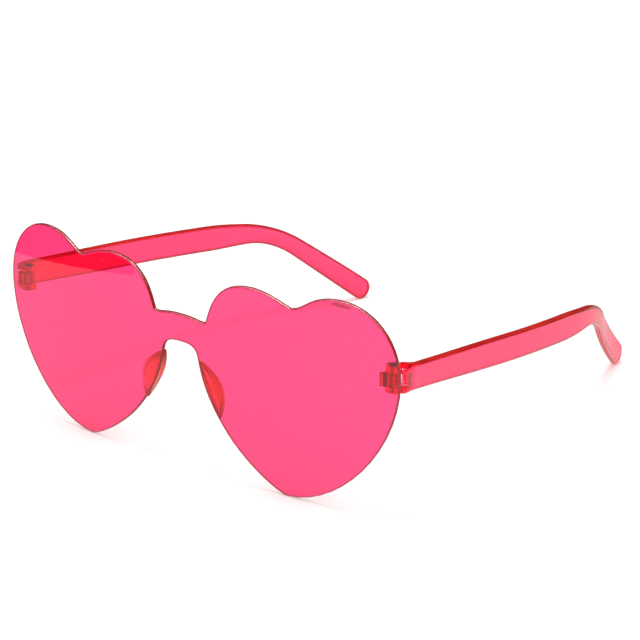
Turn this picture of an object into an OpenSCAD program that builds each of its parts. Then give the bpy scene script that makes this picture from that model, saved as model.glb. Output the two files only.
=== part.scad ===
// Rimless party sunglasses. One curved see-through plate carries both heart
// shaped lenses and the bridge. Two nose pads and two hinge lugs are bonded to
// its back, and a bent temple turns on a small steel screw at each lug.
// The glasses stand as they do on a table: on the two heart tips and the two
// temple tips. +Z is up, the front looks along -Y, +X is the wearer's left.

/* [Lens] */
// Width over both hearts
lens_w = 141.9; // [130:0.1:154]
// Height of the hearts, tips to outer lobes
lens_h = 60.3; // [55:0.1:66]
// Thickness of the plate
lens_t = 1.3; // [1:0.1:1.8]
// Radius of the plate's front face, seen from above
lens_face_r = 410; // [300:5:600]
// Forward lean of the plate as the glasses stand, degrees
lens_lean = 1.7; // [0.5:0.1:3]

/* [Temples] */
// Thickness of the temple strip
temple_t = 2.4; // [1.8:0.1:3]
// Height of the strip at the hinge
temple_front_h = 7.6; // [7:0.1:9]
// Height of the strip in the middle
temple_mid_h = 8.4; // [7:0.1:10]
// Height of the strip where it narrows behind the ear
temple_waist_h = 5.9; // [5:0.1:7]
// Height of the strip at its rounded tip
temple_tip_h = 7.3; // [6:0.1:9]
// How far the strip's outer face stands out past the plate's side edge
temple_out = 0; // [0:0.1:0.5]
// Downward slope of the straight strip, degrees
temple_slope = 5.5; // [3:0.1:7]
// Further turn down behind the ear, degrees
ear_drop = 30; // [24:1:36]
// Radius of that turn, on the strip's middle line
ear_drop_r = 46; // [36:1:56]
// Run of the strip before that turn
ear_drop_from = 96; // [88:1:104]

/* [Temple curve seen from above] */
// Straight run before the strip starts to curve in
straight_run = 42; // [36:1:48]
// Radius of the first, slack curve
slack_r = 384; // [320:2:460]
// Run of the slack curve
slack_run = 42.5; // [38:0.5:46]
// Radius of the tighter curve behind the ear
hook_r = 120; // [105:1:150]
// Run of the tighter curve
hook_run = 34; // [30:0.5:38]
// Radius of the tip, which flares out again
flare_r = 144; // [120:2:200]

/* [Hinges] */
// Distance from the plate's side edge in to the screw
screw_in = 4.4; // [4:0.1:5.2]
// Height of the screw's middle above the table
screw_mid_z = 40.3; // [36:0.1:44]
// Radius of the screw's shank
screw_r = 0.7; // [0.5:0.05:0.8]
// Radius of the screw's head
screw_head_r = 1.2; // [1:0.05:1.4]
// Thickness of the screw's head
screw_head_t = 0.6; // [0.4:0.05:0.8]
// Width of the driver slot in the head
driver_slot_w = 0.3; // [0.2:0.05:0.4]
// Depth of the driver slot
driver_slot_t = 0.3; // [0.2:0.05:0.35]
// Height of the two ears and the slot between them
ear_h = 7.4; // [6.8:0.1:8.4]
// Outer radius of the ears round the screw
ear_r = 2; // [1.8:0.1:2.3]
// Bevel of the ears' outer front corner
ear_bevel = 0.8; // [0.5:0.1:1.2]
// Distance from the screw back to where the bare strip starts
ear_run = 3.1; // [2.8:0.1:4]
// Height of the lug, which fills the slot between the ears
lug_h = 3.7; // [3.2:0.1:4]
// Radius of the lug's round end
lug_r = 1.7; // [1.4:0.1:1.8]
// Width of the lug's foot on the plate
lug_foot_w = 4.2; // [3.8:0.1:4.6]
// Thickness of the lug's foot
lug_foot_t = 0.7; // [0.5:0.1:0.9]

/* [Nose pads] */
// Distance of a pad's middle from the glasses' middle
pad_x = 9.9; // [9.9:0.1:12]
// Height of a pad's middle on the plate
pad_z = 25.2; // [24:0.1:27]
// Turn of a pad's length away from upright, degrees
pad_turn = 24.5; // [22:0.5:27]
// Length of a pad's body on the plate
pad_len = 18; // [15:0.5:19]
// Bulge of the body on the plate, away from the nose
pad_out = 4.4; // [3.6:0.1:5]
// Bulge of the body on the plate, towards the nose
pad_in = 0.8; // [0.5:0.1:1]
// Height of the body's crest behind the plate
pad_crest = 2.7; // [2:0.1:4]
// Blunting of the sharp crest
pad_blunt = 0.2; // [0.1:0.05:0.4]
// Rim of the thin foot round the body
pad_foot_rim = 0.5; // [0.3:0.1:0.8]
// Thickness of that foot
pad_foot_t = 0.4; // [0.3:0.05:0.6]

/* [Fits] */
// Glue line between the plate and what is bonded to it
bond_gap = 0.05; // [0.04:0.01:0.08]
// Gap between the plate's back and the ears that turn behind it
ear_gap = 0.75; // [0.5:0.05:1]
// Gap above and below the lug in the slot
slot_play = 0.15; // [0.1:0.05:0.25]
// Gap behind the lug's round end in the slot
slot_room = 0.45; // [0.3:0.05:0.6]
// Radial play of the screw in its holes
screw_play = 0.05; // [0.03:0.01:0.08]

/* [Hidden] */
pink = [1.0, 0.33, 0.54, 0.6];
deep_pink = [1.0, 0.28, 0.44, 0.7];
steel = [0.72, 0.72, 0.74];
// Overrun of every cut past the solid that it cuts
over = 1;
// Facets of fine round faces
fine = 96;
// Facets of the plate's very large faces
face_fine = 720;
// Points on each stretch of the heart's outline
stretch_points = 14;
// Step of the temple's outline along the strip
temple_step = 5;
// Steps of the temple's curve seen from above
plan_steps = 48;
// Step round the temple's tip, degrees
tip_step = 15;

// Heart outline
// Half of the plate seen from the front, from the middle of the bridge round
// the heart to the middle of the nose arch. Each row is a point on the edge
// and the two handles of the curve that follows it: [share of half width,
// share of height].
heart_shares = [
    [[0.000, 0.760], [0.080, 0.760], [0.086, 0.745]],
    [[0.128, 0.748], [0.145, 0.782], [0.162, 0.972]],
    [[0.349, 0.972], [0.420, 0.972], [0.490, 0.933]],
    [[0.532, 0.915], [0.596, 0.921], [0.616, 1.000]],
    [[0.745, 1.000], [0.886, 1.000], [1.000, 0.862]],
    [[1.000, 0.668], [1.000, 0.331], [0.744, 0.000]],
    [[0.513, 0.000], [0.494, 0.000], [0.386, 0.050]],
    [[0.263, 0.188], [0.094, 0.393], [0.095, 0.558]],
    [[0.082, 0.585], [0.067, 0.621], [0.039, 0.622]],
    [[0.000, 0.622]]];
half_w = lens_w / 2;
function curve_at(a, b, c, d, t) =
    pow(1 - t, 3) * a + 3 * t * pow(1 - t, 2) * b
    + 3 * t * t * (1 - t) * c + t * t * t * d;
half_shares = [for (i = [0 : len(heart_shares) - 2], k = [0 : stretch_points - 1])
    curve_at(heart_shares[i][0], heart_shares[i][1], heart_shares[i][2],
             heart_shares[i + 1][0], k / stretch_points)];
half_points = [for (p = half_shares) [p[0] * half_w, p[1] * lens_h]];
arch_top = [0, heart_shares[len(heart_shares) - 1][0][1] * lens_h];
heart_points = concat(
    half_points, [arch_top],
    [for (i = [len(half_points) - 1 : -1 : 1]) [-half_points[i][0], half_points[i][1]]]);

// Plate
// The heart tip on the outline, the lowest point, which meets the table
tip_share = 0.513;
tip_x = tip_share * half_w;
// How far a face of the upright plate falls back at a distance x from the
// middle. The front face has no depth, and the back face has the plate's.
function face_y(x, depth) = lens_face_r - sqrt(pow(lens_face_r - depth, 2) - x * x);
tip_y = face_y(tip_x, 0);
// Place of a point of the plate once it leans, at a depth behind the front face
function leaned_y(x, z, depth) =
    tip_y + (face_y(x, depth) - tip_y) * cos(lens_lean) - z * sin(lens_lean);
plate_front_y = min([for (p = half_points) leaned_y(p[0], p[1], 0)]);

// Temple seen from above
// Place on the strip's outer face at a run s from its front end, as
// [inward shift, distance back, heading]
slack_turn = slack_run / slack_r * 180 / PI;
hook_turn = slack_turn + hook_run / hook_r * 180 / PI;
slack_from = straight_run;
hook_from = straight_run + slack_run;
flare_from = hook_from + hook_run;
slack_in = slack_r * (1 - cos(slack_turn));
slack_back = straight_run + slack_r * sin(slack_turn);
hook_in = slack_in + hook_r * (cos(slack_turn) - cos(hook_turn));
hook_back = slack_back + hook_r * (sin(hook_turn) - sin(slack_turn));
function heading(s) =
    s <= slack_from ? 0
    : s <= hook_from ? (s - slack_from) / slack_r * 180 / PI
    : s <= flare_from ? slack_turn + (s - hook_from) / hook_r * 180 / PI
    : hook_turn - (s - flare_from) / flare_r * 180 / PI;
function run_in(s) =
    s <= slack_from ? 0
    : s <= hook_from ? slack_r * (1 - cos(heading(s)))
    : s <= flare_from ? slack_in + hook_r * (cos(slack_turn) - cos(heading(s)))
    : hook_in + flare_r * (cos(heading(s)) - cos(hook_turn));
function run_back(s) =
    s <= slack_from ? s
    : s <= hook_from ? straight_run + slack_r * sin(heading(s))
    : s <= flare_from ? slack_back + hook_r * (sin(heading(s)) - sin(slack_turn))
    : hook_back + flare_r * (sin(hook_turn) - sin(heading(s)));

// Temple seen from the side
// The middle line falls at the strip's slope, turns down behind the ear, and
// ends at the centre of the round tip, which rests on the table.
tip_r = temple_tip_h / 2;
end_slope = temple_slope + ear_drop;
drop_from_z = screw_mid_z - ear_drop_from * tan(temple_slope);
drop_to_s = ear_drop_from + ear_drop_r * (sin(end_slope) - sin(temple_slope));
drop_to_z = drop_from_z - ear_drop_r * (cos(temple_slope) - cos(end_slope));
tip_s = drop_to_s + (drop_to_z - tip_r) / tan(end_slope);
function slope_at(s) =
    s <= ear_drop_from ? temple_slope
    : s <= drop_to_s
        ? asin(sin(temple_slope) + (s - ear_drop_from) / ear_drop_r)
        : end_slope;
function mid_z(s) =
    s <= ear_drop_from ? screw_mid_z - s * tan(temple_slope)
    : s <= drop_to_s ? drop_from_z - ear_drop_r * (cos(temple_slope) - cos(slope_at(s)))
    : drop_to_z - (s - drop_to_s) * tan(end_slope);
// Height of the strip at shares of its run, joined by soft steps
mid_share = 0.3;
body_share = 0.55;
waist_share = 0.75;
function soft(t) = t * t * (3 - 2 * t);
function between(s, a, b, h0, h1) = h0 + (h1 - h0) * soft(min(max((s / tip_s - a) / (b - a), 0), 1));
function strip_h(s) =
    s < body_share * tip_s ? between(s, 0, mid_share, temple_front_h, temple_mid_h)
    : s < waist_share * tip_s ? between(s, body_share, waist_share, temple_mid_h, temple_waist_h)
    : between(s, waist_share, 1, temple_waist_h, temple_tip_h);
function edge_point(s, side) =
    [run_back(s + side * strip_h(s) / 2 * sin(slope_at(s))),
     mid_z(s) + side * strip_h(s) / 2 * cos(slope_at(s))];
temple_steps = floor(tip_s / temple_step);
runs = [for (i = [0 : temple_steps]) i / temple_steps * tip_s];
side_points = concat(
    [for (s = runs) edge_point(s, 1)],
    [for (a = [90 - tip_step : -tip_step : tip_step - 90])
        [run_back(tip_s + tip_r * cos(a - end_slope)), tip_r + tip_r * sin(a - end_slope)]],
    [for (i = [temple_steps : -1 : 0]) edge_point(runs[i], -1)]);
temple_back = max([for (p = side_points) p[0]]);

// Places
ear_top_z = screw_mid_z + ear_h / 2;
ear_low_z = screw_mid_z - ear_h / 2;
screw_x = half_w - screw_in;
screw_y = leaned_y(screw_x, ear_low_z, lens_t) + ear_gap + ear_r;
hole_r = screw_r + screw_play;
recess_r = screw_head_r + screw_play;
slot_h = lug_h + 2 * slot_play;
slot_back = lug_r + slot_room;
// Outer face and front end of the bare strip
strip_x = half_w + temple_out;
strip_y = screw_y + ear_run;
// The origin lies under the middle of the whole outline
middle_y = (plate_front_y + strip_y + temple_back) / 2;

// Shapes
module placed() { translate([0, -middle_y, 0]) children(); }

module leaned()
{
    translate([0, tip_y, 0]) rotate([lens_lean, 0, 0]) translate([0, -tip_y, 0]) children();
}

// Places its children on the plate's back at a distance x from the middle and
// a height z, with the back face as their XZ plane
module on_back(x, z)
{
    leaned() translate([x, face_y(x, lens_t), z])
        rotate([0, 0, asin(x / (lens_face_r - lens_t))]) children();
}

// The heart outline as a long prism through the plate
module heart_prism()
{
    translate([0, lens_face_r / 2, 0]) rotate([90, 0, 0])
        linear_extrude(height = lens_face_r) polygon(heart_points);
}

module plate()
{
    leaned() intersection() {
        heart_prism();
        difference() {
            translate([0, lens_face_r, -over])
                cylinder(r = lens_face_r, h = lens_h + 2 * over, $fn = face_fine);
            translate([0, lens_face_r, -2 * over])
                cylinder(r = lens_face_r - lens_t, h = lens_h + 4 * over, $fn = face_fine);
        }
    }
}

// The body of a pad is a leaf of two round faces that meet in its crest. Seen from
// the side the crest is an arc, whose middle lies in front of the plate.
function arc_r(length, bulge) = (length * length / 4 + bulge * bulge) / (2 * bulge);
crest_r = arc_r(pad_len, pad_crest);
out_x = pad_out - arc_r(pad_len, pad_out);
in_x = arc_r(pad_len, pad_in) - pad_in;
module leaf()
{
    translate([0, pad_crest - crest_r, 0]) rotate([-90, 0, 0]) rotate([0, 90, 0])
        rotate_extrude($fn = 4 * fine) intersection() {
            translate([0, out_x]) circle(r = sqrt(crest_r * crest_r + out_x * out_x), $fn = 4 * fine);
            translate([0, in_x]) circle(r = sqrt(crest_r * crest_r + in_x * in_x), $fn = 4 * fine);
            translate([0, -pad_len / 2]) square([crest_r - pad_blunt, pad_len]);
        }
}

// The foot is an almond shaped flake under the leaf, with a rim on the far
// side from the nose
foot_out = pad_out + pad_foot_rim;
foot_len = pad_len + pad_foot_rim;
foot_out_r = arc_r(foot_len, foot_out);
foot_in_r = arc_r(foot_len, pad_in);
module foot()
{
    translate([0, pad_foot_t, 0]) rotate([90, 0, 0]) linear_extrude(height = pad_foot_t + lens_t)
        intersection() {
            translate([foot_out - foot_out_r, 0]) circle(r = foot_out_r, $fn = 4 * fine);
            translate([foot_in_r - pad_in, 0]) circle(r = foot_in_r, $fn = 4 * fine);
        }
}

// Pad of the wearer's left side, with the glue line under its flat base
module pad()
{
    on_back(pad_x, pad_z) intersection() {
        rotate([0, -pad_turn, 0]) union() {
            leaf();
            foot();
        }
        translate([-foot_len, bond_gap, -foot_len]) cube(2 * foot_len);
    }
}

// Lug of the wearer's left side: a foot bonded to the plate, and a round
// ended tongue that stands back from it with the screw's hole
module lug()
{
    lug_y = leaned_y(screw_x, ear_low_z, lens_t);
    difference() {
        intersection() {
            translate([0, 0, screw_mid_z - lug_h / 2]) linear_extrude(height = lug_h) union() {
                translate([screw_x, screw_y]) circle(r = lug_r, $fn = fine);
                translate([screw_x - lug_r, lug_y - lens_t]) square([2 * lug_r, screw_y - lug_y + lens_t]);
                translate([screw_x - lug_foot_w / 2, lug_y - lens_t])
                    square([lug_foot_w, lens_t + lug_foot_t]);
            }
            on_back(screw_x, screw_mid_z) translate([-lens_h, bond_gap, -lens_h]) cube(2 * lens_h);
        }
        translate([screw_x, screw_y, ear_low_z]) cylinder(r = hole_r, h = ear_h, $fn = fine);
    }
}

// The bent strip: its curve seen from above, cut to its outline from the side
module strip()
{
    plan_end = tip_s + tip_r + over;
    stations = [for (i = [0 : plan_steps]) i / plan_steps * plan_end];
    outer = [for (s = stations) [strip_x - run_in(s), strip_y + run_back(s)]];
    inner = [for (i = [plan_steps : -1 : 0])
        outer[i] - temple_t * [cos(heading(stations[i])), sin(heading(stations[i]))]];
    intersection() {
        linear_extrude(height = ear_top_z + temple_mid_h) polygon(concat(outer, inner));
        translate([0, strip_y, 0]) rotate([90, 0, 90])
            linear_extrude(height = lens_w) polygon(side_points);
    }
}

// Ears of the wearer's left temple: a block round the screw that widens into
// the strip, with the slot for the lug and the hole for the screw
module ears()
{
    ear_front_y = leaned_y(strip_x, ear_low_z, lens_t) + ear_gap;
    difference() {
        translate([0, 0, ear_low_z]) linear_extrude(height = ear_h) union() {
            translate([screw_x, screw_y]) circle(r = ear_r, $fn = fine);
            polygon([[screw_x, screw_y - ear_r],
                     [strip_x - ear_bevel, ear_front_y],
                     [strip_x, ear_front_y + ear_bevel],
                     [strip_x, strip_y + temple_t / 2],
                     [strip_x - temple_t, strip_y + temple_t / 2],
                     [screw_x, screw_y + ear_r]]);
        }
        translate([screw_x - ear_r - over, screw_y - ear_r - over, screw_mid_z - slot_h / 2])
            cube([ear_r + screw_in + 2 * over, ear_r + over + slot_back, slot_h]);
        translate([screw_x, screw_y, ear_low_z - over])
            cylinder(r = hole_r, h = ear_h + 2 * over, $fn = fine);
        translate([screw_x, screw_y, ear_top_z - screw_head_t - screw_play])
            cylinder(r = recess_r, h = screw_head_t + screw_play + over, $fn = fine);
    }
}

module temple()
{
    union() {
        strip();
        ears();
    }
}

module screw()
{
    difference() {
        union() {
            translate([screw_x, screw_y, ear_low_z])
                cylinder(r = screw_r, h = ear_h - screw_head_t, $fn = fine);
            translate([screw_x, screw_y, ear_top_z - screw_head_t])
                cylinder(r = screw_head_r, h = screw_head_t, $fn = fine);
        }
        translate([screw_x - screw_head_r - over, screw_y - driver_slot_w / 2,
                   ear_top_z - driver_slot_t])
            cube([2 * (screw_head_r + over), driver_slot_w, driver_slot_t + over]);
    }
}

// Nodes
module lens_shield() { color(pink) placed() plate(); }
module left_nose_pad() { color(deep_pink) placed() pad(); }
module right_nose_pad() { color(deep_pink) placed() mirror([1, 0, 0]) pad(); }
module left_hinge_lug() { color(deep_pink) placed() lug(); }
module right_hinge_lug() { color(deep_pink) placed() mirror([1, 0, 0]) lug(); }
module left_temple() { color(pink) placed() temple(); }
module right_temple() { color(pink) placed() mirror([1, 0, 0]) temple(); }
module left_hinge_screw() { color(steel) placed() screw(); }
module right_hinge_screw() { color(steel) placed() mirror([1, 0, 0]) screw(); }

lens_shield();
left_nose_pad();
right_nose_pad();
left_hinge_lug();
right_hinge_lug();
left_temple();
right_temple();
left_hinge_screw();
right_hinge_screw();
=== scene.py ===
import bpy
import bmesh
from math import asin, cos, floor, pi, radians, sin, sqrt, tan
from mathutils import Matrix, Vector


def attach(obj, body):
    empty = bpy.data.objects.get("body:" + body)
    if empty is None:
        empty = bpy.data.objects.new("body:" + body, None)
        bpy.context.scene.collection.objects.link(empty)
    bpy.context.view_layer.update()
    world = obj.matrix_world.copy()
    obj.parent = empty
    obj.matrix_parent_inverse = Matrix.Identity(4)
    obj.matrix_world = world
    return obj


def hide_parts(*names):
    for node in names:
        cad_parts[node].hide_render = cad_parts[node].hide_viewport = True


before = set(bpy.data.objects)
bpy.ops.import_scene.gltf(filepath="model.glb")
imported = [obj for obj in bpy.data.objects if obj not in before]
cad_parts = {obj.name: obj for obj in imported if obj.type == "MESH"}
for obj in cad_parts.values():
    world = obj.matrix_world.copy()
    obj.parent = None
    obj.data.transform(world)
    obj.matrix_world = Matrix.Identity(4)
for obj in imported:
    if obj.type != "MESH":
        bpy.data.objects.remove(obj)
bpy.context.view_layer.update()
MM = 0.001


# Camera
# A long lens on the wearer's left, a little above the glasses, which stand on
# the table. Place, aim and length were solved from the outlines in the photo.
camera_at = Vector((386.0, -523.6, 246.3)) * MM
camera_round = radians(37.18)
camera_up = radians(18.95)
camera_roll = radians(1.12)
camera_lens = 126.1
camera_sensor = 36

out_of_scene = Vector((sin(camera_round) * cos(camera_up),
                       -cos(camera_round) * cos(camera_up), sin(camera_up)))
level_right = Vector((cos(camera_round), sin(camera_round), 0))
level_up = out_of_scene.cross(level_right)
picture_right = cos(camera_roll) * level_right + sin(camera_roll) * level_up
picture_up = cos(camera_roll) * level_up - sin(camera_roll) * level_right
lens_data = bpy.data.cameras.new("camera")
lens_data.sensor_width = camera_sensor
lens_data.lens = camera_lens
camera = bpy.data.objects.new("camera", lens_data)
bpy.context.scene.collection.objects.link(camera)
aim = Matrix((picture_right, picture_up, out_of_scene)).transposed().to_4x4()
camera.matrix_world = Matrix.Translation(camera_at) @ aim
bpy.context.scene.camera = camera
bpy.context.scene.view_settings.view_transform = "Standard"


# Studio
# White light from all round and three softboxes, the strongest straight above.
# Polished faces mirror a dim room with a bright ceiling, and what shows through
# the plastic is white.
tent_level = 0.74
room_level = 0.06
ceiling_level = 8.0
backdrop_level = 1.0
ceiling_low, ceiling_high = 0.5, 0.75
ceiling_back, ceiling_front = 0.0, -0.35


class Wire:
    """The output of a node. Sums, products and tests of wires add Math nodes."""

    def __init__(self, finish, socket):
        self.finish = finish
        self.socket = socket

    def maths(self, operation, *values):
        return self.finish.node("ShaderNodeMath", {"operation": operation},
                                dict(enumerate(values)))

    def __add__(self, other):
        return self.maths("ADD", self, other)

    __radd__ = __add__

    def __mul__(self, other):
        return self.maths("MULTIPLY", self, other)

    __rmul__ = __mul__

    def __sub__(self, other):
        return self.maths("SUBTRACT", self, other)

    def __rsub__(self, other):
        return self.maths("SUBTRACT", other, self)

    def __lt__(self, other):
        return self.maths("LESS_THAN", self, other)

    def __gt__(self, other):
        return self.maths("GREATER_THAN", self, other)


class Finish:
    """The node tree of a material or of the world."""

    def __init__(self, owner):
        owner.use_nodes = True
        self.tree = owner.node_tree
        self.tree.nodes.clear()

    def node(self, kind, settings=None, sockets=None, output=0):
        """A new node, with its settings and the values or wires of its sockets.
        It gives one of the node's outputs as a wire."""
        made = self.tree.nodes.new(kind)
        for name, value in (settings or {}).items():
            if name == "stops":
                ramp = made.color_ramp.elements
                ramp[0].position, ramp[0].color = value[0]
                ramp[1].position, ramp[1].color = value[1]
            else:
                setattr(made, name, value)
        for name, value in (sockets or {}).items():
            if isinstance(value, Wire):
                self.tree.links.new(value.socket, made.inputs[name])
            else:
                made.inputs[name].default_value = value
        return Wire(self, made.outputs[output]) if made.outputs else None

    def place(self):
        return self.node("ShaderNodeTexCoord", output="Object")

    def along(self, place, axis):
        return self.node("ShaderNodeSeparateXYZ", None, {"Vector": place}, axis)

    def rise(self, value, start, end, low=0.0, high=1.0, kind="LINEAR"):
        """Goes from low to high while the value goes from start to end."""
        return self.node("ShaderNodeMapRange", {"interpolation_type": kind},
                         {"Value": value, "From Min": start, "From Max": end,
                          "To Min": low, "To Max": high})

    def sees(self, ray):
        return self.node("ShaderNodeLightPath", output=ray)

    def mirrored(self):
        """1 for a ray that a polished face mirrors. Clear plastic also lets
        through rays that count as glossy."""
        return self.sees("Is Glossy Ray") * (1 - self.sees("Is Transmission Ray"))

    def seen_or_through(self):
        """1 for a ray from the camera, or one that has come through plastic."""
        return self.sees("Is Camera Ray") + self.sees("Is Transmission Ray")

    def white(self, kind, strength):
        return self.node(kind, None, {"Color": (1, 1, 1, 1), "Strength": strength})

    def mix(self, part, first, second):
        return self.node("ShaderNodeMixShader", None, {0: part, 1: first, 2: second})


world = bpy.data.worlds.new("studio")
bpy.context.scene.world = world
tent = Finish(world)
sky = tent.node("ShaderNodeTexCoord", output="Generated")
ceiling = (tent.rise(tent.along(sky, "Z"), ceiling_low, ceiling_high, kind="SMOOTHSTEP")
           * tent.rise(tent.along(sky, "Y"), ceiling_back, ceiling_front, kind="SMOOTHSTEP"))
room = tent.mix(ceiling, tent.white("ShaderNodeBackground", room_level),
                tent.white("ShaderNodeBackground", ceiling_level))
tent_light = tent.mix(tent.sees("Is Glossy Ray"),
                      tent.white("ShaderNodeBackground", tent_level), room)
tent_all = tent.mix(tent.seen_or_through(), tent_light,
                    tent.white("ShaderNodeBackground", backdrop_level))
tent.node("ShaderNodeOutputWorld", None, {"Surface": tent_all})


def softbox(name, at, towards, width, height, power):
    """A soft lamp that faces a point."""
    panel = bpy.data.lights.new(name, "AREA")
    panel.shape = "RECTANGLE"
    panel.size = width
    panel.size_y = height
    panel.energy = power
    lamp = bpy.data.objects.new(name, panel)
    bpy.context.scene.collection.objects.link(lamp)
    away = Vector(at) - Vector(towards)
    lamp.matrix_world = (Matrix.Translation(Vector(at))
                         @ away.to_track_quat("Z", "Y").to_matrix().to_4x4())


softbox("overhead softbox", at=(0.03, -0.11, 1.2), towards=(0, -0.08, 0.03), width=0.4,
        height=0.3, power=6.3)
softbox("front softbox", at=(0.85, -0.75, 0.62), towards=(0, -0.05, 0.03), width=0.3,
        height=0.3, power=0.9)
softbox("side softbox", at=(-0.95, -0.3, 0.75), towards=(0, 0, 0.03), width=0.35,
        height=0.6, power=0.6)


# Table
# A smooth white board. To the camera, and through the plastic, it is as white
# as the photo's background, and near the glasses it keeps their soft shadow.
board_half = 2.5
board_glow = 1.55
glow_near, glow_far = 0.15, 1.0
near_squared, far_squared = 0.08, 0.4
# Levels of the mirrored board, with painted shade between the temples and a painted dark patch
# at the far left.
open_board_level = 0.75
painted_shade_board_level = 0.35
inner_board_x = 0.04
painted_dark_patch_level = 0.05
dark_patch_front_y, dark_patch_front_slope = -0.254, 0.625
dark_patch_corner_x, dark_patch_corner_y = -0.123, -0.177
dark_patch_side_x, dark_patch_side_y = 0.688, 0.726

board = bpy.data.materials.new("white board")
board_finish = Finish(board)
board_place = board_finish.place()
board_x = board_finish.along(board_place, "X")
board_y = board_finish.along(board_place, "Y")
board_grain = board_finish.node("ShaderNodeTexNoise", None,
                                {"Vector": board_place, "Scale": 9.0, "Detail": 3.0})
board_colour = board_finish.node(
    "ShaderNodeValToRGB",
    {"stops": [(0.3, (0.93, 0.93, 0.93, 1)), (0.7, (0.95, 0.95, 0.95, 1))]},
    {"Fac": board_grain})
board_matt = board_finish.node("ShaderNodeBsdfDiffuse", None, {"Color": board_colour})
board_even = board_finish.rise(board_x * board_x + board_y * board_y, near_squared,
                               far_squared, glow_near, glow_far)
board_lit = board_finish.mix(board_even * board_finish.seen_or_through(), board_matt,
                             board_finish.white("ShaderNodeEmission", board_glow))

# Polished faces mirror a dimmer board, with painted shade between the temples,
# where they would shade it. A dark patch painted at its far left, seen only in
# reflections, is a painted reflection that deepens the corner of the wearer's right heart.
# Painted shade: the board that polished faces mirror is darker between the temples.
painted_shade_between_temples = (board_x < inner_board_x) * (board_y > 0)
board_mirrored = board_finish.mix(
    painted_shade_between_temples, board_finish.white("ShaderNodeEmission", open_board_level),
    board_finish.white("ShaderNodeEmission", painted_shade_board_level))
# Painted reflection: a dark patch on the mirrored board, seen only in reflections.
before_dark_patch_front = board_x * dark_patch_front_slope + board_y - dark_patch_front_y < 0
beyond_dark_patch_side = ((board_x - dark_patch_corner_x) * dark_patch_side_x
                    - (board_y - dark_patch_corner_y) * dark_patch_side_y < 0)
board_mirrored = board_finish.mix(before_dark_patch_front * beyond_dark_patch_side, board_mirrored,
                                  board_finish.white("ShaderNodeEmission", painted_dark_patch_level))
board_all = board_finish.mix(board_finish.mirrored(), board_lit, board_mirrored)
board_finish.node("ShaderNodeOutputMaterial", None, {"Surface": board_all})

sheet = bmesh.new()
bmesh.ops.create_grid(sheet, x_segments=2, y_segments=2, size=board_half)
table_mesh = bpy.data.meshes.new("table")
sheet.to_mesh(table_mesh)
sheet.free()
table_mesh.materials.append(board)
table = bpy.data.objects.new("table", table_mesh)
bpy.context.scene.collection.objects.link(table)


# Lens shield
# One plate of clear pink plastic carries both hearts and the bridge. It is
# curved to the face, and its rim is rounded and polished. Everything else is
# fixed to its back.
plate_half = 70.95 * MM
plate_thick = 1.3 * MM
plate_radius = 410 * MM
plate_lean = radians(1.7)
plate_rim = 0.6 * MM
plate_rim_clear = plate_rim / 5
plate_step = 1.5 * MM
plate_snap = 0.2 * MM
heart_tip_x = 0.513 * plate_half
front_normal_y = -0.9
rim_segments = 5
same_point = 0.001 * MM
sharp_turn = 1.0
lens_tint = (0.998, 0.142, 0.54)
lens_depth = 2290

plastic_ior = 1.58
# The rims' dark reds are painted glow: light that travels inside the plastic, painted on the
# rounded edges.
painted_glow_deep_red = (0.42, 0.012, 0.006)
painted_glow_pale_red = (0.62, 0.024, 0.016)
painted_glow_lit_red = (0.75, 0.045, 0.03)
# A dull pale pink: painted light on the slot wall and the temples' painted sheen, and the
# colour of real dust specks.
dust_and_painted_light_pink = (0.95, 0.45, 0.5, 1)
shadow_pink = (0.55, 0.4, 0.4, 1)
dust_size = 0.055
mark_at_x, mark_at_z = 53.4 * MM, 58.85 * MM
mark_half_x, mark_half_z = 2.857 * MM, 0.4167 * MM
mark_tilt = 0.08


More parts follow.
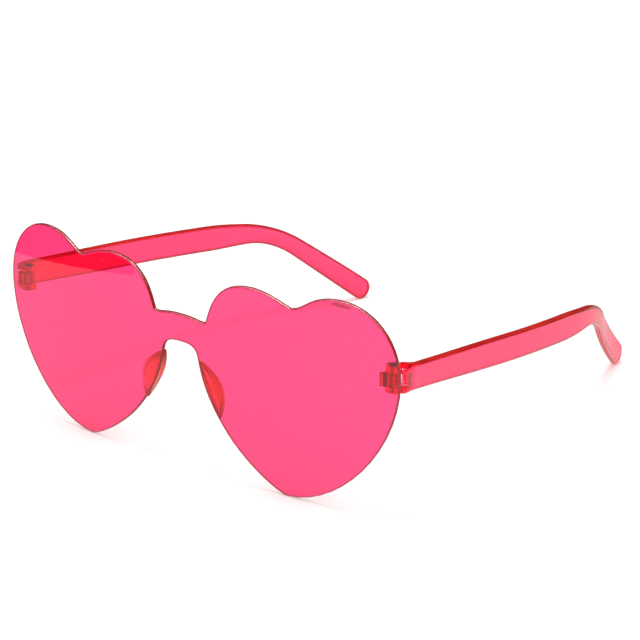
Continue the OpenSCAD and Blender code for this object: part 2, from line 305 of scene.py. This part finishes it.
def pink_plastic(name, tint, depth, rough, ripple, painted_glow_part, dusty, marked=0, edge_light=1):
    """Clear moulded plastic, whose tint grows with the way that light goes in it.
    Where the rim attribute is 1, a rounded edge gets a painted dark red glow, which
    stands in for light that travels inside the plastic. Where the attribute for
    painted light is 1, the face is a dull pale pink, painted light. Small specks of
    the same pink are dust. A marked piece also gets the painted glow in a small
    tilted ellipse, and edge_light is how bright the red of the painted glow is."""
    made = bpy.data.materials.new(name)
    finish = Finish(made)
    place = finish.place()
    flow = finish.node("ShaderNodeTexNoise", None,
                       {"Vector": place, "Scale": 60.0, "Detail": 2.0, "Distortion": 0.4})
    haze = finish.node("ShaderNodeTexNoise", None,
                       {"Vector": place, "Scale": 260.0, "Detail": 4.0})
    speck = finish.node("ShaderNodeTexVoronoi", None, {"Vector": place, "Scale": 200.0})
    dust = (speck < dust_size) * dusty
    waves = finish.node("ShaderNodeBump", None,
                        {"Height": flow, "Strength": ripple, "Distance": 0.3 * MM})
    clear = finish.node("ShaderNodeBsdfPrincipled", None, {
        "Base Color": (1, 1, 1, 1), "Transmission Weight": 1.0, "IOR": plastic_ior,
        "Roughness": haze * rough, "Normal": waves})

    # A small tilted ellipse near the top of the plate gets the painted dark red glow.
    mark_x = finish.along(place, "X") - mark_at_x
    mark_z = finish.along(place, "Z") - mark_at_z + mark_x * mark_tilt
    mark_x, mark_z = mark_x * (1 / mark_half_x), mark_z * (1 / mark_half_z)
    mark = (mark_x * mark_x + mark_z * mark_z < 1) * marked

    # Painted glow: the rim and the small ellipse get an opaque dark red from outside and a red
    # translucent face from inside, in place of the light that comes out of the plastic there.
    deep_red, pale_red, lit_red = ((red * edge_light, green, blue, 1) for red, green, blue
                                   in (painted_glow_deep_red, painted_glow_pale_red, painted_glow_lit_red))
    glow_colour = finish.node("ShaderNodeValToRGB",
                              {"stops": [(0.35, deep_red), (0.65, pale_red)]}, {"Fac": flow})
    glow = finish.node("ShaderNodeBsdfPrincipled", None, {
        "Base Color": glow_colour, "IOR": plastic_ior, "Roughness": haze * 0.2})
    lit_through = finish.node("ShaderNodeBsdfTranslucent", None, {"Color": lit_red})
    inside = finish.node("ShaderNodeNewGeometry", output="Backfacing")
    rim = finish.node("ShaderNodeAttribute", {"attribute_name": "rim"}, output="Fac")
    edged = finish.mix(rim * painted_glow_part + mark, clear, finish.mix(inside, glow, lit_through))

    # Painted light: a dull pale pink where the attribute for painted light is set, and on the
    # dust specks.
    dust_and_painted_light = finish.node("ShaderNodeBsdfDiffuse", None, {"Color": dust_and_painted_light_pink})
    frost = finish.node("ShaderNodeAttribute", {"attribute_name": "frost"}, output="Fac")
    surface = finish.mix(frost + dust, edged, dust_and_painted_light)
    let_through = finish.node("ShaderNodeBsdfTransparent", None, {"Color": shadow_pink})
    both = finish.mix(finish.sees("Is Shadow Ray"), surface, let_through)
    body = finish.node("ShaderNodeVolumeAbsorption", None,
                       {"Color": tint + (1,), "Density": depth})
    finish.node("ShaderNodeOutputMaterial", None, {"Surface": both, "Volume": body})
    return made


lens_plastic = pink_plastic("polished pink lens", lens_tint, lens_depth, rough=0.015,
                            ripple=0.004, painted_glow_part=0.9, dusty=0.15, marked=0.5,
                            edge_light=0.65)


def merged_copy(node):
    """A bmesh copy of a CAD node, with its loose triangles joined."""
    shape = bmesh.new()
    shape.from_mesh(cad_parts[node].data)
    bmesh.ops.remove_doubles(shape, verts=shape.verts, dist=same_point)
    return shape


def piece(name, shape, material, body, replaced):
    """A bmesh as a finished piece that rides on a body."""
    mesh = bpy.data.meshes.new(name)
    shape.to_mesh(mesh)
    shape.free()
    mesh.materials.append(material)
    made = bpy.data.objects.new(name, mesh)
    bpy.context.scene.collection.objects.link(made)
    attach(made, body)
    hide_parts(replaced)


def only(kind, geometry):
    return [g for g in geometry if isinstance(g, kind)]


def cut(shape, at, across, snap, **sides):
    """Cuts all of a shape with a plane. Corners nearer to it than snap are used."""
    bmesh.ops.bisect_plane(shape, geom=shape.verts[:] + shape.edges[:] + shape.faces[:],
                           dist=snap, plane_co=at, plane_no=across, **sides)


def round_off(shape, edges, width, segments, **limits):
    bmesh.ops.bevel(shape, geom=edges, affect="EDGES", offset=width, segments=segments,
                    profile=0.5, material=-1, **limits)


def shade_round_rim(shape, axis):
    """Smooths the two flat faces across an axis and the rim each by itself."""
    for face in shape.faces:
        face.smooth = True
    for edge in shape.edges:
        edge.smooth = len({abs(f.normal[axis]) > 0.9999 for f in edge.link_faces}) == 1


plate = merged_copy("lens_shield")
lowest = min(plate.verts, key=lambda v: (round(v.co.z, 6), v.co.y))
heart_tip = Vector((0, lowest.co.y, 0))
bmesh.ops.rotate(plate, verts=plate.verts, cent=heart_tip,
                 matrix=Matrix.Rotation(-plate_lean, 3, "X"))
plate.normal_update()
not_front = [f for f in plate.faces if f.normal.y > front_normal_y]
bmesh.ops.delete(plate, geom=not_front, context="FACES")
for corner in plate.verts:
    corner.co = (plate_radius * asin(corner.co.x / plate_radius), 0, corner.co.z)
bmesh.ops.dissolve_faces(plate, faces=plate.faces)
plate_steps = floor(plate_half / plate_step)
for k in range(-plate_steps, plate_steps + 1):
    cut(plate, (k * plate_step, 0, 0), (1, 0, 0), plate_snap)
wall = bmesh.ops.extrude_face_region(plate, geom=plate.faces)
bmesh.ops.translate(plate, vec=(0, plate_thick, 0),
                    verts=only(bmesh.types.BMVert, wall["geom"]))
bmesh.ops.recalc_face_normals(plate, faces=plate.faces)
outline = [e for e in plate.edges if e.calc_face_angle(0) > sharp_turn]
round_off(plate, outline, plate_rim, rim_segments)
plate.normal_update()
# The rim attribute says where the painted dark red glow goes: none on the flat faces, full on
# the rounded rim.
rim_layer = plate.verts.layers.float.new("rim")
for corner in plate.verts:
    from_face = min(corner.co.y, plate_thick - corner.co.y)
    corner[rim_layer] = min(1, from_face / plate_rim_clear)
shade_round_rim(plate, 1)


def bend_to_face(shape):
    """Curves a flat shape, whose y is the depth behind the plate's front, and
    leans it as the plate leans."""
    axis_y = heart_tip.y + sqrt(plate_radius ** 2 - heart_tip_x ** 2)
    for corner in shape.verts:
        turn = corner.co.x / plate_radius
        reach = plate_radius - corner.co.y
        corner.co = (reach * sin(turn), axis_y - reach * cos(turn), corner.co.z)
    bmesh.ops.rotate(shape, verts=shape.verts, cent=heart_tip,
                     matrix=Matrix.Rotation(plate_lean, 3, "X"))


bend_to_face(plate)
piece("lens_shield_polished", plate, lens_plastic, "front", "lens_shield")


# Nose pads
# Two low half almonds of the same plastic, bonded to the plate beside the nose
# arch. The crest stands near the nose, and a thin flake shows round the body.
pad_x = 9.9 * MM
pad_z = 25.2 * MM
pad_turn = radians(24.5)
pad_len = 18 * MM
pad_out = 4.4 * MM
pad_in = 0.8 * MM
pad_crest = 2.7 * MM
pad_flake = 0.35 * MM
pad_flake_rim = 0.5 * MM
pad_gap = 0.05 * MM
pad_merge = 0.01 * MM
pad_long_steps = 60
pad_round_steps = 24
pad_steps = pad_round_steps + 2
pad_tint = (0.99, 0.3, 0.02)
pad_depth = 640
pad_crease = radians(35)
pad_plastic = pink_plastic("polished pink pad", pad_tint, pad_depth, rough=0.5, ripple=0.04,
                           painted_glow_part=0.9, dusty=0)


def shade_creases(shape, crease):
    """Smooths a shape but for the edges that turn more than the crease."""
    for face in shape.faces:
        face.smooth = True
    for edge in shape.edges:
        edge.smooth = len(edge.link_faces) == 2 and edge.calc_face_angle(0) < crease


for side, sign in (("left", 1), ("right", -1)):
    # A grid is laid over the body in round steps, and the last ones are the flake.
    pad = bmesh.new()
    bmesh.ops.create_grid(pad, x_segments=pad_long_steps, y_segments=pad_steps, size=1)
    rim_layer = pad.verts.layers.float.new("rim")
    for corner in pad.verts:
        along = corner.co.x
        across = (corner.co.y + 1) / 2 * pad_steps
        swell = max(1 - along * along, 0)
        roll = radians(-90 + min(across, pad_round_steps) * 180 / pad_round_steps)
        width = (pad_out if roll > 0 else pad_in) * swell
        place = Vector((sin(roll) * width, cos(roll) * pad_crest * swell, along * pad_len / 2))
        if across > pad_round_steps - 1.5:
            place.y = pad_flake * min(1, 4 * swell)
        if across > pad_round_steps + 0.5:
            place.x += pad_flake_rim * swell
        # The painted dark red glow is full at the pad's ends and faint over its body.
        corner[rim_layer] = min(1, max(0.07, abs(along) * 5 - 3.4))
        corner.co = place
    bmesh.ops.remove_doubles(pad, verts=pad.verts, dist=pad_merge)

    # Its edge goes down to the flat back, which lies on the plate.
    edge_loop = [e for e in pad.edges if e.is_boundary]
    base = bmesh.ops.extrude_edge_only(pad, edges=edge_loop)["geom"]
    for corner in only(bmesh.types.BMVert, base):
        corner.co.y = 0
    base_loop = [e for e in only(bmesh.types.BMEdge, base) if e.is_boundary]
    bmesh.ops.contextual_create(pad, geom=base_loop)
    bmesh.ops.remove_doubles(pad, verts=pad.verts, dist=pad_merge)
    bmesh.ops.dissolve_degenerate(pad, edges=pad.edges, dist=pad_merge)
    bmesh.ops.rotate(pad, verts=pad.verts, cent=(0, 0, 0),
                     matrix=Matrix.Rotation(-pad_turn, 3, "Y"))
    bmesh.ops.translate(pad, verts=pad.verts, vec=(pad_x, plate_thick + pad_gap, pad_z))
    bend_to_face(pad)
    bmesh.ops.scale(pad, verts=pad.verts, vec=(sign, 1, 1))
    bmesh.ops.recalc_face_normals(pad, faces=pad.faces)
    shade_creases(pad, pad_crease)
    piece(side + "_nose_pad_polished", pad, pad_plastic, "front",
          side + "_nose_pad")


# Hinge lugs
# A small round ended tongue on a foot, bonded to the plate's back at each side.
# The screw goes through it. Two tints deep, it shows as a brown block.
lug_round = 0.12 * MM
lug_sharp = radians(60)
shortest_edge = 0.3 * MM
flat_turn = radians(0.05)
moulded_crease = radians(28)
lug_tint = (0.93, 0.02, 0.1)
lug_depth = 1400
lug_plastic = pink_plastic("deep pink lug", lug_tint, lug_depth, rough=0.06, ripple=0.05,
                           painted_glow_part=0.5, dusty=0)


def plain_faces(shape):
    """Joins the triangles of each flat face."""
    bmesh.ops.dissolve_limit(shape, angle_limit=flat_turn, verts=shape.verts,
                             edges=shape.edges)


def round_sharp_edges(shape, width, turn):
    """Rounds the edges of a merged copy that turn more than the turn given."""
    plain_faces(shape)
    sharp = [e for e in shape.edges if len(e.link_faces) == 2
             and e.calc_face_angle(0) > turn and e.calc_length() > shortest_edge]
    round_off(shape, sharp, width, 2, clamp_overlap=True)
    shade_creases(shape, moulded_crease)


for side in ("left", "right"):
    lug = merged_copy(side + "_hinge_lug")
    round_sharp_edges(lug, lug_round, lug_sharp)
    piece(side + "_hinge_lug_polished", lug, lug_plastic, "front",
          side + "_hinge_lug")


# Temples
# A flat strip of pink plastic with round edges, moulded in one with the two
# ears that hold the screw. It curves in behind the ear and turns down to a
# round tip, on which the glasses stand.
temple_thick = 2.4 * MM
temple_round = 1.05 * MM
temple_round_clear = temple_round / 8
temple_sharp = radians(60)
pin_y = -69.696 * MM
pin_z = 40.3 * MM
strip_x = 70.95 * MM
strip_y = pin_y + 3.1 * MM
strip_slope = radians(5.5)
strip_heights = ((0, 0.3, 7.6, 8.4), (0.55, 0.75, 8.4, 5.9), (0.75, 1, 5.9, 7.3))
strip_step = 2.4 * MM
join_run = 2.0 * MM
straight_run = 42 * MM
slack_radius = 384 * MM
slack_run = 42.5 * MM
hook_radius = 120 * MM
hook_run = 34 * MM
flare_radius = 144 * MM
drop_from = 96 * MM
drop_radius = 46 * MM
end_slope = radians(35.5)
tip_radius = 3.65 * MM
tip_steps = 12
sheen_run = 12 * MM
sheen_middle = 0.25
painted_sheen_strength = 0.8
sheen_least_rim = 0.3
ears_end_y = strip_y - 0.1 * MM
ears_snap = 0.0001 * MM
ears_half = 3.6 * MM
ears_soft_round = 0.8 * MM
ears_round = 0.22 * MM
ears_sharp = radians(40)
slot_half = 2 * MM
slot_painted_light = 0.6
temple_tint = (0.997, 0.30, 0.565)
temple_depth = 1450
temple_plastic = pink_plastic("pink temple plastic", temple_tint, temple_depth, rough=0.04,
                              ripple=0.03, painted_glow_part=0.85, dusty=0.5)

slack_turn = slack_run / slack_radius
hook_turn = slack_turn + hook_run / hook_radius
drop_z = pin_z - drop_from * tan(strip_slope)
drop_to = drop_from + drop_radius * (sin(end_slope) - sin(strip_slope))
drop_to_z = drop_z - drop_radius * (cos(strip_slope) - cos(end_slope))
tip_run = drop_to + (drop_to_z - tip_radius) / tan(end_slope)


def in_plan(run):
    """Inward shift, distance back and heading of the strip's outer face."""
    slack_from, hook_from = straight_run, straight_run + slack_run
    flare_from = hook_from + hook_run
    if run <= slack_from:
        return 0, run, 0
    if run <= hook_from:
        turn = (run - slack_from) / slack_radius
        return slack_radius * (1 - cos(turn)), straight_run + slack_radius * sin(turn), turn
    slack_in = slack_radius * (1 - cos(slack_turn))
    slack_back = straight_run + slack_radius * sin(slack_turn)
    if run <= flare_from:
        turn = slack_turn + (run - hook_from) / hook_radius
        return (slack_in + hook_radius * (cos(slack_turn) - cos(turn)),
                slack_back + hook_radius * (sin(turn) - sin(slack_turn)), turn)
    turn = hook_turn - (run - flare_from) / flare_radius
    return (slack_in + hook_radius * (cos(slack_turn) - cos(hook_turn))
            + flare_radius * (cos(turn) - cos(hook_turn)),
            slack_back + hook_radius * (sin(hook_turn) - sin(slack_turn))
            + flare_radius * (sin(hook_turn) - sin(turn)), turn)


def on_edge(run, half, side):
    """A point on the strip's upper or lower edge, as run and height."""
    if run <= drop_from:
        slope, middle = strip_slope, pin_z - run * tan(strip_slope)
    elif run <= drop_to:
        slope = asin(sin(strip_slope) + (run - drop_from) / drop_radius)
        middle = drop_z - drop_radius * (cos(strip_slope) - cos(slope))
    else:
        slope, middle = end_slope, drop_to_z - (run - drop_to) * tan(end_slope)
    return Vector((0, run + side * half * sin(slope), middle + side * half * cos(slope)))


def on_tip(turn):
    """A point on the round tip, turned up from the line of the strip."""
    return Vector((0, tip_run + tip_radius * cos(turn - end_slope),
                   tip_radius + tip_radius * sin(turn - end_slope)))


def strip_half(run):
    """Half of the strip's height, which swells, narrows and swells again. A row
    of strip_heights is the share of the length where a change starts, where it
    ends, and the heights in mm at both."""
    share = run / tip_run
    for start, end, low, high in strip_heights:
        if share <= end:
            part = min(max((share - start) / (end - start), 0), 1)
            return (low + (high - low) * part * part * (3 - 2 * part)) * MM / 2


for side, sign in (("left", 1), ("right", -1)):
    # The strip's outer face grows edge by edge, flat and straight, down to its tip.
    strip = bmesh.new()
    count = round((tip_run - join_run) / strip_step)
    runs = [join_run + k / count * (tip_run - join_run) for k in range(count + 1)]
    turns = [pi / 2 * (1 - k / tip_steps) for k in range(1, tip_steps)]
    rows = [[on_edge(run, strip_half(run), 1), on_edge(run, strip_half(run), -1)]
            for run in runs]
    rows += [[on_tip(turn), on_tip(-turn)] for turn in turns]
    upper, lower = (strip.verts.new(place) for place in rows[0])
    edge = strip.edges.new((upper, lower))
    for row in rows[1:]:
        grown = bmesh.ops.extrude_edge_only(strip, edges=[edge])["geom"]
        edge = only(bmesh.types.BMEdge, grown)[0]
        for corner in edge.verts:
            above = (corner.co - upper.co).length < (corner.co - lower.co).length
            corner.co = row[0] if above else row[1]
        upper, lower = sorted(edge.verts, key=lambda v: (v.co - row[0]).length)

    # It gets its thickness and its round edges, and loses its front end.
    wall = bmesh.ops.extrude_face_region(strip, geom=strip.faces)
    bmesh.ops.translate(strip, vec=(-temple_thick, 0, 0),
                        verts=only(bmesh.types.BMVert, wall["geom"]))
    bmesh.ops.recalc_face_normals(strip, faces=strip.faces)
    strip.normal_update()
    front_cap = min(strip.faces, key=lambda f: f.calc_center_median().y)
    rounded = [e for e in strip.edges if e.calc_face_angle(0) > temple_sharp
               and front_cap not in e.link_faces and e.verts[0].co.x == e.verts[1].co.x]
    round_off(strip, rounded, temple_round, rim_segments)
    front_cap = min(strip.faces, key=lambda f: f.calc_center_median().y)
    bmesh.ops.delete(strip, geom=[front_cap], context="FACES_ONLY")
    strip.normal_update()
    rim_layer = strip.verts.layers.float.new("rim")
    painted_light_layer = strip.verts.layers.float.new("frost")
    shade_round_rim(strip, 0)

    # Its edges get the painted dark red glow, but past the bend the front one has a
    # painted pale sheen on its shoulder, a painted reflection. Then the strip is bent in plan.
    for corner in strip.verts:
        depth = -corner.co.x
        edged = min(1, min(depth, temple_thick - depth) / temple_round_clear)
        past_bend = min(1, max(0, (corner.co.y - drop_from) / sheen_run))
        faded = past_bend * (corner.normal.y < 0)
        shoulder = max(0, 1 - abs(depth / temple_round - sheen_middle) * 3)
        corner[rim_layer] = edged * (1 - faded * max(shoulder, sheen_least_rim))
        corner[painted_light_layer] = shoulder * painted_sheen_strength * faded
        inward, back, turn = in_plan(corner.co.y)
        corner.co = (strip_x - inward - depth * cos(turn), strip_y + back - depth * sin(turn),
                     corner.co.z)

    # The ears are a copy of the CAD temple's front, with softer outer edges.
    ears = merged_copy(side + "_temple")
    if sign < 0:
        bmesh.ops.scale(ears, verts=ears.verts, vec=(-1, 1, 1))
        bmesh.ops.reverse_faces(ears, faces=ears.faces)
    cut(ears, (0, ears_end_y, 0), (0, 1, 0), ears_snap, clear_outer=True)
    plain_faces(ears)
    outer = [e for e in ears.edges if e.calc_face_angle(0) > sharp_turn
             and all(v.co.x > strip_x - 1 * MM and abs(v.co.z - pin_z) > ears_half
                     for v in e.verts)]
    round_off(ears, outer, ears_soft_round, 4)
    round_sharp_edges(ears, ears_round, ears_sharp)
    ears_mesh = bpy.data.meshes.new("ears")
    ears.to_mesh(ears_mesh)
    ears.free()
    strip.from_mesh(ears_mesh)
    bpy.data.meshes.remove(ears_mesh)
    bmesh.ops.bridge_loops(strip, edges=[e for e in strip.edges if e.is_boundary])

    # The slot's rear wall gets a dull pale pink, painted light for the light that comes
    # through the gap of the slot.
    strip.normal_update()
    for face in strip.faces:
        middle = face.calc_center_median()
        in_slot = abs(middle.z - pin_z) < slot_half and middle.y > pin_y + 1 * MM
        if in_slot and face.normal.y < -0.95:
            for corner in face.verts:
                corner[painted_light_layer] = slot_painted_light * (corner.co.x > strip_x - 2 * MM)
    if sign < 0:
        bmesh.ops.scale(strip, verts=strip.verts, vec=(-1, 1, 1))
    bmesh.ops.recalc_face_normals(strip, faces=strip.faces)
    for face in strip.faces:
        face.smooth = True
    piece(side + "_temple_polished", strip, temple_plastic, side + "_arm",
          side + "_temple")


# Hinge screws
# Small turned steel screws with a driver slot, sunk in the upper ear. They keep
# their CAD shape and get a finish of fine turning lines.
steel_colour = (0.62, 0.62, 0.64, 1)
steel = bpy.data.materials.new("turned steel")
steel_finish = Finish(steel)
steel_lines = steel_finish.node(
    "ShaderNodeTexNoise", None,
    {"Vector": steel_finish.place(), "Scale": 4000.0, "Detail": 2.0})
steel_surface = steel_finish.node("ShaderNodeBsdfPrincipled", None, {
    "Base Color": steel_colour, "Metallic": 1.0, "Roughness": steel_lines * 0.2 + 0.22})
steel_finish.node("ShaderNodeOutputMaterial", None, {"Surface": steel_surface})
for side in ("left", "right"):
    for screw_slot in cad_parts[side + "_hinge_screw"].material_slots:
        screw_slot.material = steel
